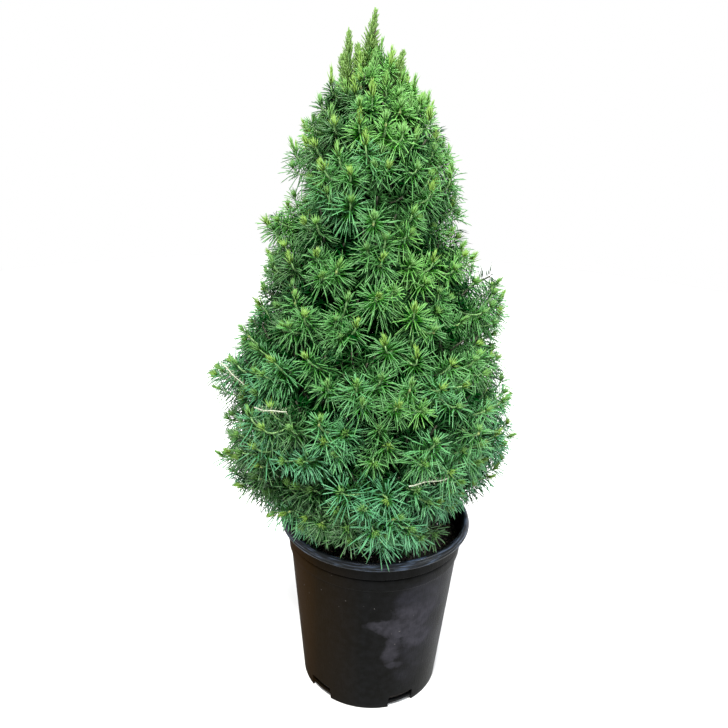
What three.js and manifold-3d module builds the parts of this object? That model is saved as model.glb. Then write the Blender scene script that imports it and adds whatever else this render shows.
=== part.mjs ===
// A dwarf spruce in a round nursery pot: a leaning trunk, short boughs, and the crown as separate
// uneven masses of needles packed round the trunk in tiers. Millimetres, +Z up, the pot's underside
// at z = 0 and its axis on the Z axis. The plant's fullest face looks along -Y.
import * as THREE from "three";
import { mergeVertices } from "three/addons/utils/BufferGeometryUtils.js";
import Module from "manifold-3d";

const wasm = await Module();
wasm.setup();

// ---- driving dimensions -------------------------------------------------------------------------

// The pot: a round plastic container that tapers to its foot.
const potHeight = 166;
const rimRadius = 82.5;
const wallTopRadius = 73.8;
const footRadius = 61.5;
const wallThickness = 1.8;
const footRingWidth = 4;
const floorRise = 4;
const floorThickness = 2;
const shoulderHeight = 135;
const beadHeight = 6.8;
const notchCount = 5;
const notchWidth = THREE.MathUtils.degToRad(22);
const notchHeight = 13;
const firstNotch = THREE.MathUtils.degToRad(-63);
const potSegments = 36;

// The potting mix fills the pot to a little under the rim.
const mixTop = 149;
const mixSegments = 20;
const mixRoughness = 1.6;

// The trunk stands on a level patch of the mix and leans to the left of the pot's axis.
const trunkFootRadius = 7.5;
const trunkTipRadius = 1.1;
const trunkTip = 559;
const rootFlare = 4.5;
const flareHeight = 16;
const flareLobes = 5;
const trunkLean = -14;
const leanEndsAt = 260;

// The crown's radius about the trunk, as [height, radius] stations of its outline.
const crownOutline = [
  [152, 60],
  [168, 80],
  [190, 103],
  [212, 115],
  [262, 120],
  [300, 116],
  [340, 103],
  [380, 87],
  [430, 68],
  [470, 60],
  [490, 51],
  [505, 42],
  [518, 33],
  [530, 21],
  [541, 8],
];

// The tiers of foliage, from the lowest up: where each starts and how many masses go round it.
const tiers = [
  { name: "skirt", from: 153.5, masses: 5, turn: 18, core: 26, bough: 3.4 },
  { name: "low", from: 198, masses: 5, turn: 54, core: 28, bough: 3.6 },
  { name: "middle", from: 252, masses: 5, turn: 20, core: 27, bough: 3.4 },
  { name: "high", from: 309, masses: 4, turn: 48, core: 23, bough: 3.0 },
  { name: "upper", from: 369, masses: 4, turn: 2, core: 18, bough: 2.5 },
  { name: "top", from: 427, masses: 3, turn: 30, core: 13, bough: 2.0 },
];
const tiersEndAt = 483;
const outwardLift = 42;
const liftRadius = 125;
const massGap = 0.7;
const massRounding = 0.27;
const massSides = 4;
const boughSlope = 0.55;
const boughStagger = 4.5;

// Places where the foliage stands proud of the outline, or falls short of it: the direction round
// the trunk in degrees, the height, how far out, and how wide the swelling is.
const swellings = [
  { towards: 178, height: 414, out: 12, spread: 20 },
  { towards: 182, height: 290, out: 15, spread: 17 },
  { towards: 182, height: 332, out: -7, spread: 18 },
  { towards: 184, height: 218, out: 16, spread: 24 },
  { towards: 2, height: 357, out: 19, spread: 23 },
  { towards: 0, height: 305, out: 7, spread: 26 },
  { towards: -8, height: 225, out: -8, spread: 30 },
  { towards: -88, height: 310, out: 6, spread: 30 },
  { towards: 70, height: 240, out: 5, spread: 35 },
  { towards: 128, height: 345, out: 7, spread: 28 },
  { towards: -24, height: 186, out: -24, spread: 32 },
  { towards: -48, height: 192, out: -22, spread: 30 },
  { towards: -62, height: 396, out: -9, spread: 16 },
  { towards: -45, height: 300, out: -6, spread: 18 },
  { towards: 6, height: 508, out: 8, spread: 18 },
];

// The apex: a pointed cap of foliage round the trunk, with three upright shoots.
const apexFrom = 483;
const apexTo = 541;
const shoots = [
  { name: "leader", foot: [-15, 0, 526], tip: [-15.5, 0, 571.5], foot_radius: 6.4, tip_radius: 2.4 },
  { name: "leader_left", foot: [-31, 1, 512], tip: [-33, 2, 556], foot_radius: 5.2, tip_radius: 2.4 },
  { name: "leader_right", foot: [-1, -2, 512], tip: [6, -3, 546], foot_radius: 5.4, tip_radius: 2.6 },
];

// The clearance between pieces that touch.
const seatGap = 0.3;

// ---- helpers ------------------------------------------------------------------------------------

const smooth = (t) => t * t * (3 - 2 * t);
const clamp01 = (t) => Math.min(1, Math.max(0, t));

// The centre line of the trunk: it curves to the left over its lower part, then rises.
function trunkAt(height) {
  const t = clamp01((height - mixTop) / (leanEndsAt - mixTop));
  const rise = clamp01((height - leanEndsAt) / (trunkTip - leanEndsAt));
  return new THREE.Vector3(trunkLean * smooth(t) - rise, 3 * Math.sin(3 * rise), height);
}

// Linear interpolation in a list of [x, y] stations.
function along(stations, x) {
  const last = stations.length - 1;
  if (x <= stations[0][0]) return stations[0][1];
  if (x >= stations[last][0]) return stations[last][1];
  const i = stations.findIndex(([at]) => at > x);
  const [x0, y0] = stations[i - 1];
  const [x1, y1] = stations[i];
  return y0 + ((y1 - y0) * (x - x0)) / (x1 - x0);
}

// The crown's radius in a direction: the outline, its unevenness and the swellings.
function crownRadius(azimuth, height) {
  const base = along(crownOutline, height);
  const broad = 0.035 * Math.sin(3 * azimuth + height / 31) + 0.03 * Math.sin(5 * azimuth - height / 23);
  const tufts = 2.2 * Math.sin(height / 4.6 + 2 * azimuth) * Math.sin((azimuth * base) / 9);
  let radius = base * (1 + broad) + tufts * clamp01(base / 60);
  for (const s of swellings) {
    const turn = azimuth - THREE.MathUtils.degToRad(s.towards);
    const aside = 2 * Math.sin(turn / 2) * base;
    const up = height - s.height;
    radius += s.out * Math.exp(-(aside * aside + up * up) / (s.spread * s.spread));
  }
  return radius;
}

// Where the crown's own coordinates lie: level and azimuth say which mass, radius how far out. Levels
// rise outwards, as the boughs do, and wander a little, so that no two masses come out alike. Each
// wander reads only what it doesn't move, so neighbouring masses never cross.
function crownPoint(azimuth, level, radiusIn) {
  const turned = azimuth + 0.09 * Math.sin(level / 21 + 1);
  const lift = (r) => outwardLift * (r / liftRadius) ** 2 * (1 + 0.12 * Math.sin(3 * turned + 0.8));
  const outer = crownRadius(turned, level + lift(along(crownOutline, level + 10)));
  const radius = radiusIn(outer);
  const centre = trunkAt(level);
  return {
    at: new THREE.Vector3(
      centre.x + radius * Math.cos(turned),
      centre.y + radius * Math.sin(turned),
      level + lift(radius),
    ),
    aside: new THREE.Vector3(-Math.sin(turned), Math.cos(turned), 0),
    out: new THREE.Vector3(Math.cos(turned), Math.sin(turned), 0),
  };
}

function solid(geometry) {
  const bare = new THREE.BufferGeometry().setAttribute("position", geometry.getAttribute("position"));
  if (geometry.index) bare.setIndex(geometry.index);
  const merged = mergeVertices(bare, 1e-3);
  return new wasm.Manifold(
    new wasm.Mesh({
      numProp: 3,
      vertProperties: merged.attributes.position.array,
      triVerts: new Uint32Array(merged.index.array),
    }),
  );
}

function geometryOf(manifold) {
  const mesh = manifold.getMesh();
  const positions = new Float32Array(mesh.numVert * 3);
  for (let i = 0; i < mesh.numVert; i++)
    positions.set(mesh.vertProperties.subarray(i * mesh.numProp, i * mesh.numProp + 3), i * 3);
  const geometry = new THREE.BufferGeometry();
  geometry.setAttribute("position", new THREE.BufferAttribute(positions, 3));
  geometry.setIndex(new THREE.BufferAttribute(mesh.triVerts, 1));
  geometry.computeVertexNormals();
  return geometry;
}

// The largest of the separate bodies that a cut leaves.
const largest = (manifold) =>
  manifold.decompose().reduce((best, body) => (body.volume() > best.volume() ? body : best));

// A closed skin over rings of points, each ring given as the same number of Vector3, lowest first.
function loft(rings) {
  const sides = rings[0].length;
  const centre = (ring) =>
    ring.reduce((sum, p) => sum.add(p), new THREE.Vector3()).divideScalar(sides);
  const points = [...rings.flat(), centre(rings[0]), centre(rings[rings.length - 1])];
  const foot = points.length - 2;
  const tip = points.length - 1;
  const faces = [];
  for (let j = 0; j < sides; j++) {
    const k = (j + 1) % sides;
    faces.push(foot, k, j);
    for (let i = 0; i + 1 < rings.length; i++) {
      const a = i * sides;
      const b = a + sides;
      faces.push(a + j, a + k, b + k, a + j, b + k, b + j);
    }
    const top = (rings.length - 1) * sides;
    faces.push(tip, top + j, top + k);
  }
  const geometry = new THREE.BufferGeometry().setFromPoints(points);
  geometry.setIndex(faces);
  return solid(geometry);
}

// A round limb along a curve, its radius a function of the share of the way along it.
function limb(curve, radiusAt, steps, sides) {
  const rings = [];
  for (let i = 0; i <= steps; i++) {
    const t = i / steps;
    const at = curve.getPoint(t);
    const ahead = curve.getTangent(t);
    const across = new THREE.Vector3(0, 0, 1).cross(ahead);
    if (across.length() < 0.1) across.set(0, 1, 0);
    across.normalize();
    const up = ahead.clone().cross(across).normalize();
    rings.push(
      Array.from({ length: sides }, (_, j) => {
        const turn = (2 * Math.PI * j) / sides;
        return at
          .clone()
          .addScaledVector(across, radiusAt(t) * Math.cos(turn))
          .addScaledVector(up, radiusAt(t) * Math.sin(turn));
      }),
    );
  }
  return loft(rings);
}

// ---- materials ----------------------------------------------------------------------------------

const potPlastic = new THREE.MeshStandardMaterial({ color: 0x2a2a2b, roughness: 0.5, metalness: 0 });
const pottingMix = new THREE.MeshStandardMaterial({ color: 0x211812, roughness: 1, metalness: 0 });
const bark = new THREE.MeshStandardMaterial({ color: 0x6b5442, roughness: 0.9, metalness: 0 });
const needles = new THREE.MeshStandardMaterial({ color: 0x3f7f45, roughness: 0.6, metalness: 0 });

// ---- the pot ------------------------------------------------------------------------------------

const innerFoot = footRadius - wallThickness;
const innerWallTop = wallTopRadius - wallThickness;
const floorTop = floorRise + floorThickness;
const wallSlope = (wallTopRadius - footRadius) / shoulderHeight;

// The wall's section: a floor that stands on its flat middle and on the foot of the wall, with a
// raised channel between them for the drain notches, a straight tapering wall, two stacking steps
// under the rim, and a rolled bead.
function potSection() {
  const beadFoot = potHeight - beadHeight;
  const lowerStep = wallTopRadius + 1.5;
  const upperStep = wallTopRadius + 3.7;
  const middle = innerFoot - footRingWidth;
  return [
    [0, 0],
    [middle - 3, 0],
    [middle, floorRise],
    [innerFoot, floorRise],
    [innerFoot, 0],
    [footRadius, 0],
    [wallTopRadius, shoulderHeight],
    [lowerStep, shoulderHeight + 1.4],
    [lowerStep + 0.7, 151],
    [upperStep, 152.6],
    [upperStep + 0.2, beadFoot],
    [rimRadius - 0.9, beadFoot],
    [rimRadius, beadFoot + 1.6],
    [rimRadius, beadFoot + 4],
    [rimRadius - 1.6, potHeight - 1.4],
    [rimRadius - 3.6, potHeight],
    [rimRadius - 5.4, potHeight - 0.9],
    [upperStep - wallThickness, beadFoot + 2],
    [lowerStep - wallThickness, shoulderHeight + 2.6],
    [innerWallTop, shoulderHeight + 1.2],
    [innerFoot + wallSlope * floorTop, floorTop],
    [0, floorTop],
  ].map(([radius, height]) => new THREE.Vector2(radius, height));
}

// One drain notch: a wedge through the wall, open at the foot.
function notch(middle) {
  const reach = [innerFoot - 1, footRadius + 6];
  const outline = new THREE.Shape();
  outline.absarc(0, 0, reach[1], middle - notchWidth / 2, middle + notchWidth / 2, false);
  outline.absarc(0, 0, reach[0], middle + notchWidth / 2, middle - notchWidth / 2, true);
  outline.closePath();
  const wedge = new THREE.ExtrudeGeometry(outline, {
    depth: notchHeight + 2,
    bevelEnabled: false,
    curveSegments: 4,
  });
  return solid(wedge.translate(0, 0, -2));
}

function makePot() {
  const lathe = new THREE.LatheGeometry(potSection(), potSegments).rotateX(Math.PI / 2);
  let pot = solid(lathe);
  for (let i = 0; i < notchCount; i++)
    pot = pot.subtract(notch(firstNotch + (i * 2 * Math.PI) / notchCount));
  return largest(pot);
}

// ---- the potting mix ----------------------------------------------------------------------------

// Rings of points on the mix: up its side, then in across its lumpy top to the level patch.
function makeMix() {
  const ring = (radius, height, rough) =>
    Array.from({ length: mixSegments }, (_, j) => {
      const turn = (2 * Math.PI * j) / mixSegments;
      const lump = Math.sin(3.1 * turn + radius / 7) + Math.sin(7 * turn - radius / 5);
      return new THREE.Vector3(
        radius * Math.cos(turn),
        radius * Math.sin(turn),
        height + rough * 0.5 * mixRoughness * lump,
      );
    });
  const side = (height) => innerFoot + wallSlope * height - 1.2;
  const foot = floorTop + seatGap;
  return loft([
    ring(side(foot), foot, 0),
    ring(side(shoulderHeight), shoulderHeight - 2, 0),
    ring(side(shoulderHeight) - 0.2, mixTop - 3.4, 0.6),
    ring(64, mixTop - 1.6, 1),
    ring(46, mixTop - 0.6, 1),
    ring(28, mixTop - 0.2, 0.6),
    ring(16, mixTop, 0),
  ]);
}

// ---- the trunk ----------------------------------------------------------------------------------

// The trunk's skin, grown outwards by a margin where another piece is cut to fit round it.
function trunkSolid(margin) {
  const sides = 10;
  const foot = mixTop + seatGap;
  const heights = [foot - margin, foot + 3, foot + 8, foot + flareHeight];
  const steps = 13;
  for (let i = 1; i <= steps; i++)
    heights.push(foot + flareHeight + ((trunkTip - foot - flareHeight) * i) / steps);
  heights[heights.length - 1] += margin;
  return loft(
    heights.map((height) => {
      const t = clamp01((height - foot) / (trunkTip - foot));
      const taper = THREE.MathUtils.lerp(trunkFootRadius, trunkTipRadius, t ** 0.85);
      const flare = rootFlare * (1 - smooth(clamp01((height - foot) / flareHeight)));
      const centre = trunkAt(height);
      return Array.from({ length: sides }, (_, j) => {
        const turn = (2 * Math.PI * j) / sides;
        const lobe = 0.55 + 0.45 * Math.sin(flareLobes * turn + 0.6);
        const radius = taper + flare * lobe + margin;
        return new THREE.Vector3(radius * Math.cos(turn), radius * Math.sin(turn), 0).add(centre);
      });
    }),
  );
}

// ---- the foliage masses and their boughs --------------------------------------------------------

// One mass: a block with rounded edges, laid out in its share of the crown. Its three directions run
// outwards from the core, round the trunk and up.
function massSolid(cell, margin) {
  const block = new THREE.BoxGeometry(2, 2, 2, massSides, massSides, massSides);
  const p = block.getAttribute("position");
  for (let i = 0; i < p.count; i++) {
    const corner = new THREE.Vector3().fromBufferAttribute(p, i);
    const ball = corner.clone().normalize();
    const { x: out, y: round, z: up } = corner.clone().lerp(ball, massRounding);
    const level = cell.low + ((up + 1) / 2) * (cell.high - cell.low);
    const spot = crownPoint(cell.middle + cell.halfTurn * round, level, (outer) =>
      THREE.MathUtils.lerp(cell.core, outer, (out + 1) / 2),
    );
    spot.at.addScaledVector(spot.aside, (margin - massGap) * round);
    spot.at.addScaledVector(spot.out, margin * out);
    spot.at.z += (margin - massGap) * up;
    p.setXYZ(i, ...spot.at);
  }
  return solid(block);
}

// The blocks that the tiers divide the crown into.
const cells = tiers.flatMap((tier, i) => {
  const high = i + 1 < tiers.length ? tiers[i + 1].from : tiersEndAt;
  const turn = (2 * Math.PI) / tier.masses;
  return Array.from({ length: tier.masses }, (_, j) => ({
    name: `${tier.name}_${j + 1}`,
    low: tier.from,
    high,
    middle: THREE.MathUtils.degToRad(tier.turn) + j * turn,
    halfTurn: turn / 2,
    core: tier.core,
    bough: tier.bough,
    stagger: boughStagger * (((2 * j) % tier.masses) - (tier.masses - 1) / 2),
  }));
});

// The bough rises from inside the trunk into its mass, and is then cut back to both their faces.
function boughSolid(cell, trunkCut) {
  const level = cell.low + 0.45 * (cell.high - cell.low);
  const inside = cell.core + 16;
  const foot = trunkAt(level - boughSlope * cell.core + cell.stagger);
  const end = crownPoint(cell.middle, level, () => inside).at;
  const bend = foot.clone().lerp(end, 0.5);
  bend.z -= 2;
  const curve = new THREE.QuadraticBezierCurve3(foot, bend, end);
  const radiusAt = (t) => cell.bough * (1 - 0.4 * t);
  return largest(limb(curve, radiusAt, 3, 6).subtract(trunkCut).subtract(massSolid(cell, seatGap)));
}

// ---- the apex -----------------------------------------------------------------------------------

// The cap is a ball pressed towards a drum, then drawn in to the crown's outline.
function capSolid(margin) {
  const ball = new THREE.IcosahedronGeometry(1, 2);
  const p = ball.getAttribute("position");
  for (let i = 0; i < p.count; i++) {
    const [x, y, z] = [p.getX(i), p.getY(i), p.getZ(i)];
    const size = (Math.hypot(x, y) ** 4.5 + Math.abs(z) ** 4.5) ** (1 / 4.5);
    const level = THREE.MathUtils.lerp(apexFrom, apexTo, (z / size + 1) / 2);
    const share = Math.hypot(x, y) / size;
    const spot = crownPoint(Math.atan2(y, x), level, (outer) => share * (0.97 * outer + margin));
    spot.at.z += (margin - massGap) * (z / size);
    p.setXYZ(i, ...spot.at);
  }
  return solid(ball);
}

function shootSolid(shoot, cuts) {
  const curve = new THREE.LineCurve3(
    new THREE.Vector3(...shoot.foot),
    new THREE.Vector3(...shoot.tip),
  );
  const radiusAt = (t) =>
    THREE.MathUtils.lerp(shoot.foot_radius, shoot.tip_radius, t) * (1 - 0.5 * smooth(clamp01(8 * t - 7)));
  return largest(cuts.reduce((left, cut) => left.subtract(cut), limb(curve, radiusAt, 6, 7)));
}

// ---- assembly -----------------------------------------------------------------------------------

const plant = new THREE.Group();
function add(name, manifold, material) {
  const mesh = new THREE.Mesh(geometryOf(manifold), material);
  mesh.name = name;
  plant.add(mesh);
}

const trunkCut = trunkSolid(seatGap);
const capCut = capSolid(seatGap);

add("pot", makePot(), potPlastic);
add("potting_mix", makeMix(), pottingMix);
add("trunk", trunkSolid(0), bark);
for (const cell of cells) {
  add(`bough_${cell.name}`, boughSolid(cell, trunkCut), bark);
  add(`foliage_${cell.name}`, massSolid(cell, 0), needles);
}
add("foliage_apex", largest(capSolid(0).subtract(trunkCut)), needles);
for (const shoot of shoots) add(shoot.name, shootSolid(shoot, [trunkCut, capCut]), needles);

export default plant;
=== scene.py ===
"""A young dwarf spruce in its nursery pot, from the pot up to the buds. Metres, +Z up."""

from math import cos, pi, radians, sin

import bpy
import numpy as np
from mathutils import Matrix, Vector


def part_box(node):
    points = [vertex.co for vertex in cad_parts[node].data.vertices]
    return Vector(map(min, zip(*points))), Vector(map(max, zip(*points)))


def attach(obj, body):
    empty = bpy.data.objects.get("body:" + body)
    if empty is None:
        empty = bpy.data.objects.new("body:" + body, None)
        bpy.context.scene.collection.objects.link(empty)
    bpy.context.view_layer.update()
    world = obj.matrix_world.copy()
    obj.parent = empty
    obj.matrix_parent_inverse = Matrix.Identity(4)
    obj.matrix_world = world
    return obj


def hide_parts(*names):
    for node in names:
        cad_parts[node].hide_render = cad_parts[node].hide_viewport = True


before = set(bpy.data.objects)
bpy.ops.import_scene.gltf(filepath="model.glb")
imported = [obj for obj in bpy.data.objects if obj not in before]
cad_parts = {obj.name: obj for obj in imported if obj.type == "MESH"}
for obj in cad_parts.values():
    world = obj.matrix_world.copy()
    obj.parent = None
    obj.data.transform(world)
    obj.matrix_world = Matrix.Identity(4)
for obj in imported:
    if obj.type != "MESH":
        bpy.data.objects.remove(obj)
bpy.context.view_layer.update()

# ---- The studio ----
# A pale matt floor under soft, nearly even light, with a broad lamp above the front of the plant, a
# cooler one at the right and one behind. The camera stands above the crown's middle and looks down.

camera_place = (-0.0145, -0.6092, 0.5444)
looks_down = radians(21.56)
leans = radians(1.95)
ahead = np.array([0, cos(looks_down), -sin(looks_down)])
level_right = np.array([1.0, 0, 0])
level_up = np.cross(level_right, ahead)
right = cos(leans) * level_right + sin(leans) * level_up
up = cos(leans) * level_up - sin(leans) * level_right

camera = bpy.data.objects.new("camera", bpy.data.cameras.new("camera"))
camera.data.sensor_width = 36
camera.data.lens = 39.56
camera.data.clip_start = 0.01
turned_to = [[*row, place] for row, place in zip(np.stack([right, up, -ahead], 1), camera_place)]
camera.matrix_world = Matrix([*turned_to, [0, 0, 0, 1]])
bpy.context.collection.objects.link(camera)
bpy.context.scene.camera = camera
bpy.context.scene.view_settings.view_transform = "Standard"


def build(name, points, faces, material, smooth=True):
    """A mesh object at the origin from an array of points and a list of arrays of face corners, each
    array holding faces with the same number of corners, in anticlockwise order seen from outside."""
    mesh = bpy.data.meshes.new(name)
    points = np.asarray(points, np.float32).reshape(-1, 3)
    sides = np.concatenate([np.full(len(f), f.shape[1]) for f in faces])
    corners = np.concatenate([np.asarray(f).ravel() for f in faces]).astype(np.int32)
    mesh.vertices.add(len(points))
    mesh.vertices.foreach_set("co", points.ravel())
    mesh.loops.add(len(corners))
    mesh.loops.foreach_set("vertex_index", corners)
    mesh.polygons.add(len(sides))
    mesh.polygons.foreach_set("loop_start", (np.cumsum(sides) - sides).astype(np.int32))
    mesh.update(calc_edges=True)
    if smooth:
        mesh.shade_smooth()
    mesh.materials.append(material)
    piece = bpy.data.objects.new(name, mesh)
    bpy.context.collection.objects.link(piece)
    return piece


def new_material(name, colour, roughness, **plain):
    """A material whose one shader has a plain colour and roughness, with any other socket by name."""
    material = bpy.data.materials.new(name)
    material.use_nodes = True
    shader = material.node_tree.nodes["Principled BSDF"]
    shader.inputs["Base Color"].default_value = (*colour, 1)
    shader.inputs["Roughness"].default_value = roughness
    for socket, value in plain.items():
        shader.inputs[socket.replace("_", " ")].default_value = value
    return material


def ring_index(rows, sides):
    """Four-cornered faces of a grid of rows of points, each row closed round on itself."""
    row, side = np.meshgrid(np.arange(rows - 1), np.arange(sides), indexing="ij")
    here, there = row * sides + side, row * sides + (side + 1) % sides
    return np.stack([here, there, there + sides, here + sides], -1).reshape(-1, 4)


def fan(ring, middle, down=False):
    """Triangles from each side of a ring of points to a middle point, facing up or down."""
    sides = (np.roll(ring, -1), ring) if down else (ring, np.roll(ring, -1))
    return np.stack([*sides, np.full(len(ring), middle)], -1)


def disc(radii, heights, sides):
    """Rings of points round the Z axis, one for each radius and height: x and y are the radius times
    the cosine and sine of the turn."""
    turn = np.linspace(0, 2 * pi, sides, endpoint=False)
    level = np.outer(heights, 0 * turn + 1)
    rings = [np.outer(radii, np.cos(turn)), np.outer(radii, np.sin(turn)), level]
    return np.stack(rings, -1).reshape(-1, 3)


floor_radii = np.array([1.6, 1.2, 0.8, 0.3, 0.01])
floor_level = -0.0003
floor_sides = 64
floor_points = disc(floor_radii, np.full(5, floor_level), floor_sides)
floor_points = np.vstack([floor_points, [[0, 0, floor_level]]])
inmost = 4 * floor_sides + np.arange(floor_sides)
pale_floor = new_material("pale floor", (0.6, 0.6, 0.6), 0.95, Specular_IOR_Level=0.0)
floor_faces = [ring_index(5, floor_sides), fan(inmost, 5 * floor_sides)]
floor = build("floor", floor_points, floor_faces, pale_floor)

world = bpy.data.worlds.new("studio")
world.use_nodes = True
sky = world.node_tree.nodes["Background"].inputs
sky["Color"].default_value = (1, 1, 1, 1)
sky["Strength"].default_value = 1.0
bpy.context.scene.world = world


def lamp(name, place, target, size, power, colour):
    """A square soft lamp at a place, turned towards a target."""
    light = bpy.data.lights.new(name, "AREA")
    light.size, light.energy, light.color = size, power, colour
    holder = bpy.data.objects.new(name, light)
    holder.location = place
    away = np.subtract(place, target)
    holder.rotation_euler = Vector(away).to_track_quat("Z", "Y").to_euler()
    bpy.context.collection.objects.link(holder)


lamp("key lamp", (-0.22, -0.97, 2.05), (0, 0, 0.25), 0.5, 112, (1, 0.99, 0.95))
lamp("window lamp", (1.4, -0.5, 1.5), (0, 0, 0.2), 0.6, 24, (0.88, 0.94, 1))
lamp("back lamp", (0.1, 0.9, 2.2), (0, 0, 0.35), 0.8, 42, (1, 1, 1))

# ---- The pot ----
# A round nursery pot, moulded in one piece from black plastic. It tapers to a foot with five open
# drain notches; under the rolled rim two steps let one pot stack in another.

pot_low, pot_high = (np.array(corner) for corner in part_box("pot"))
pot_height = pot_high[2] - pot_low[2]
rim_radius = (pot_high[0] - pot_low[0]) / 2
foot_radius = 0.0615
wall_top_radius = 0.0738
wall_top = 0.135
ledge = 0.1455
wall = 0.0018
floor_rise = 0.004
notch_height = 0.013
notch_half_width = radians(11)
notch_middles = radians(-63) + np.arange(5) * 2 * pi / 5


def stations(points, step):
    """Points along a broken line of (radius, height) stations, no further apart than step."""
    line = np.array(points)
    counts = [max(1, int(np.ceil(np.hypot(*(b - a)) / step))) for a, b in zip(line[:-1], line[1:])]
    pieces = [np.linspace(a, b, n, endpoint=False) for a, b, n in zip(line[:-1], line[1:], counts)]
    return np.vstack([*pieces, line[-1:]])


def arc(middle, radius, start, end, count):
    """Points on an arc of a circle, from one angle to another, in degrees."""
    angle = np.radians(np.linspace(start, end, count))
    return np.stack([middle[0] + radius * np.cos(angle), middle[1] + radius * np.sin(angle)], 1)


# The pot's section, as (radius, height), up the outside and down the inside. The straight wall ends in
# a rounded step, the ledge in a groove and a second one, and the bead under the rim in the rolled lip.
bead = pot_height - 0.0068
low_band = wall_top_radius + 0.0015
high_band = wall_top_radius + 0.0037
foot_edge = [foot_radius - 0.0004, 0]
groove = [[0.0003, 0.0006], [-0.0003, 0.0011], [0.0002, 0.0017], [0.0007, 0.0019]]
outside = [
    stations([foot_edge, [foot_radius, 0.0006], [wall_top_radius - 0.0001, wall_top - 0.0012]], 0.004),
    [[wall_top_radius + 0.00005, wall_top - 0.0005]],
    arc((low_band - 0.0009, wall_top + 0.0011), 0.0009, -50, 0, 4),
    stations([[low_band + 0.0001, wall_top + 0.002], [low_band + 0.0006, ledge]], 0.004),
    np.array([low_band, ledge]) + groove,
    [[high_band - 0.0005, ledge + 0.0026]],
    arc((high_band - 0.0006, ledge + 0.0033), 0.0006, -50, 0, 4),
    stations([[high_band, ledge + 0.0038], [high_band + 0.0002, bead - 0.0006]], 0.002),
    [[high_band + 0.0004, bead - 0.0001], [rim_radius - 0.0019, bead + 0.0003]],
    arc((rim_radius - 0.0012, bead + 0.0015), 0.0012, -80, 30, 7),
    [[rim_radius - 0.0004, bead + 0.0026], [rim_radius - 0.0007, bead + 0.0029]],
    arc((rim_radius - 0.0019, bead + 0.0036), 0.0013, -25, 60, 6),
    arc((rim_radius - 0.0034, pot_height - 0.0019), 0.0019, 35, 165, 8),
]
inside = [
    stations([[high_band - wall + 0.0003, bead + 0.003], [high_band - wall, ledge + 0.0053]], 0.002),
    stations([[low_band - wall + 0.0006, ledge + 0.0035], [low_band - wall, wall_top + 0.0028]], 0.004),
    stations([[wall_top_radius - wall, wall_top + 0.001], [foot_radius - wall, 0]], 0.004),
]
pot_profile = np.vstack([*outside, *inside])

# Columns crowd together at the notches' sides, so that their edges are cut square.
beside_edges = notch_half_width * np.array([-1.008, -0.99, 0.99, 1.008])
notch_edges = (notch_middles[:, None] + beside_edges).ravel() % (2 * pi)
even_turns = np.linspace(0, 2 * pi, 168, endpoint=False)
pot_turns = np.sort(np.unique(np.r_[even_turns, notch_edges]))
from_notch = np.abs((pot_turns[:, None] - notch_middles + pi) % (2 * pi) - pi).min(1)
cut = notch_height * (from_notch < notch_half_width)
cut *= 1 - 0.12 * np.clip((from_notch / notch_half_width - 0.93) / 0.06, 0, 1)


def revolve(profile, turns, lowest=0.0, wander=0.0):
    """A closed profile of (radius, height) carried round the Z axis. Below the lowest height that is
    allowed at a turn, a point slides up its own wall. The wander is a slight ovality of the radius."""
    height = np.repeat(profile[:, 1:], len(turns), 1)
    lift = np.maximum(0, lowest - height)
    radius = profile[:, :1] + lift * (wall_top_radius - foot_radius) / wall_top
    height = height + lift
    radius = radius * (1 + wander * np.sin(2 * turns + 0.7) * (height / pot_height))
    return np.stack([radius * np.cos(turns), radius * np.sin(turns), height], -1)


wall_points = revolve(pot_profile, pot_turns, cut, 0.0012)
columns = len(pot_turns)
wall_faces = ring_index(len(pot_profile) + 1, columns) % (len(pot_profile) * columns)

# The floor stands on its flat middle; a raised channel runs round it to the notches.
floor_edge = foot_radius - wall + 0.0009
floor_top = floor_rise + 0.002
floor_profile = [[0.0005, 0], [0.0572, 0], [0.0578, 0.0008], [0.0583, floor_rise - 0.0006]]
floor_profile += [[0.0588, floor_rise], [floor_edge, floor_rise], [floor_edge + 0.0002, floor_top]]
floor_profile = np.array([*floor_profile, [0.0005, floor_top]])
base_points = revolve(floor_profile, pot_turns)
base_start = wall_points.size // 3
base_faces = ring_index(len(floor_profile), columns) + base_start
under = base_start + base_points.size // 3
first_ring = base_start + np.arange(columns)
last_ring = first_ring + (len(floor_profile) - 1) * columns
base_caps = [fan(first_ring, under, down=True), fan(last_ring, under + 1)]
base_middles = [[0, 0, 0], [0, 0, floor_top]]
pot_points = np.vstack([wall_points.reshape(-1, 3), base_points.reshape(-1, 3), base_middles])


def node(tree, kind, links=(), **values):
    """Adds a shader node: values are its plain sockets, links are (socket, output)."""
    made = tree.nodes.new("ShaderNode" + kind)
    for key, value in values.items():
        made.inputs[key].default_value = value
    for socket, output in links:
        tree.links.new(output, made.inputs[socket])
    return made


def noise(place, **values):
    """A noise over a place."""
    return node(place.id_data, "TexNoise", [("Vector", place)], **values).outputs["Fac"]


def stretch(place, *scale):
    """A place scaled along each axis, so that a noise over it is drawn out."""
    return node(place.id_data, "Mapping", [("Vector", place)], Scale=scale).outputs[0]


def join(value, socket):
    """Links a node's output to a socket, or sets a plain value in it."""
    if isinstance(value, bpy.types.NodeSocket):
        socket.id_data.links.new(value, socket)
    else:
        socket.default_value = value


def work(operation, *values, clamp=False):
    """One sum of plain numbers or other nodes' outputs."""
    tree = next(value.id_data for value in values if isinstance(value, bpy.types.NodeSocket))
    made = tree.nodes.new("ShaderNodeMath")
    made.operation, made.use_clamp = operation, clamp
    for value, socket in zip(values, made.inputs):
        join(value, socket)
    return made.outputs[0]


def times(first, second, clamp=False):
    """The product of two values."""
    return work("MULTIPLY", first, second, clamp=clamp)


def rise(value, start, slope):
    """A mask: a value's distance above the start times the slope, between nought and one."""
    return times(work("SUBTRACT", value, start), slope, clamp=True)


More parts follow.
